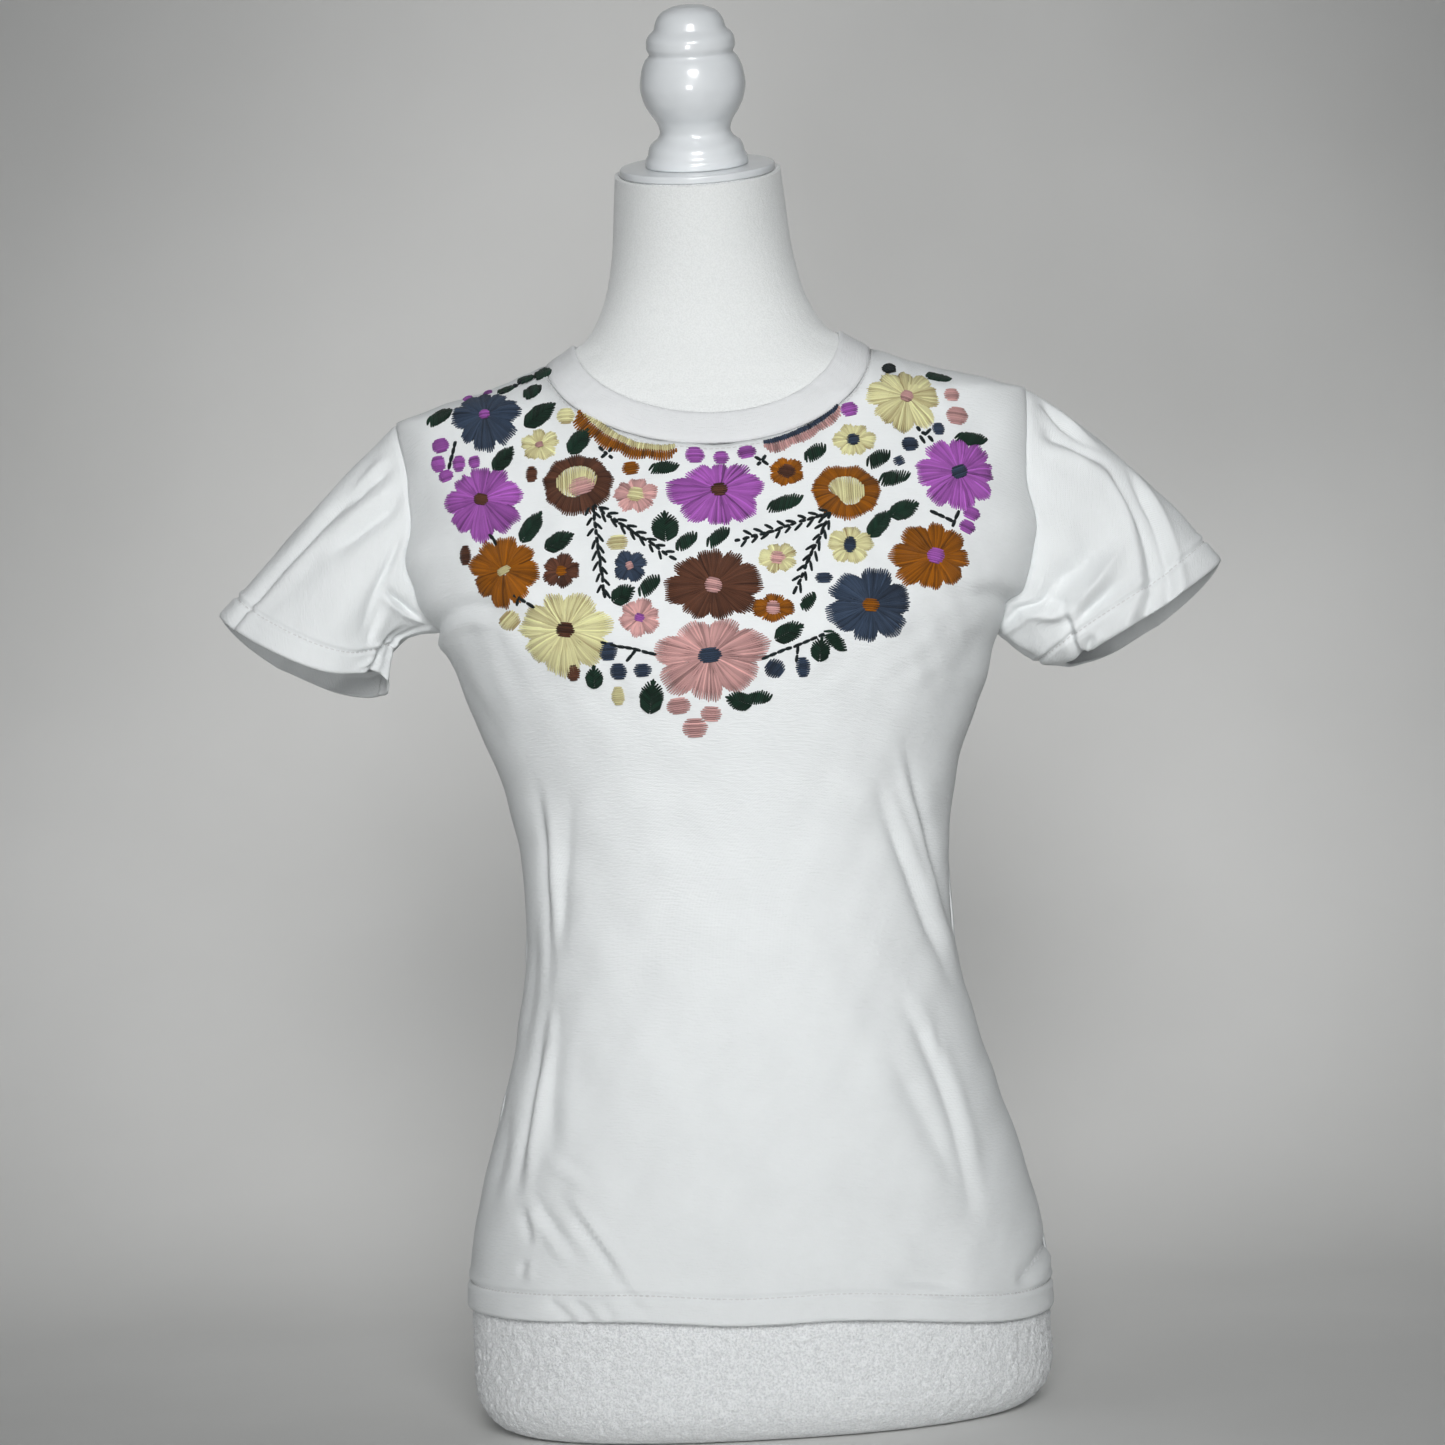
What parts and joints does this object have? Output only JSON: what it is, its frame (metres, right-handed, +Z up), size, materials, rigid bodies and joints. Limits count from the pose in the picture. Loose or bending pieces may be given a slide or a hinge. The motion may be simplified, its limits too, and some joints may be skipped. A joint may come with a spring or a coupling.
{
  "type": "embroidered t-shirt on a dress form",
  "caption": "Short-sleeved jersey t-shirt with a hand-embroidered floral yoke, worn by a limbless dress form with a turned finial.",
  "frame": {"origin": "centre of the dress form's flat foot, which stands on a surface", "axes": "+Z up, -Y the way the form and the embroidery face, +X the wearer's left"},
  "size_m": [0.56, 0.232, 0.7847],
  "materials": {
    "jersey": "white cotton jersey, matt",
    "rib": "white cotton rib, matt",
    "cover": "white fuzzy knitted cover, matt",
    "lacquer": "white, glossy",
    "thread": "embroidery thread in several colours, silky"
  },
  "bodies": {
    "root": {"front_panel": "jersey", "back_panel": "jersey", "sleeve_left": "jersey", "sleeve_right": "jersey", "neckband": "rib", "form_body": "cover", "neck_cap": "lacquer", "finial": "lacquer"}
  },
  "joints": []
}
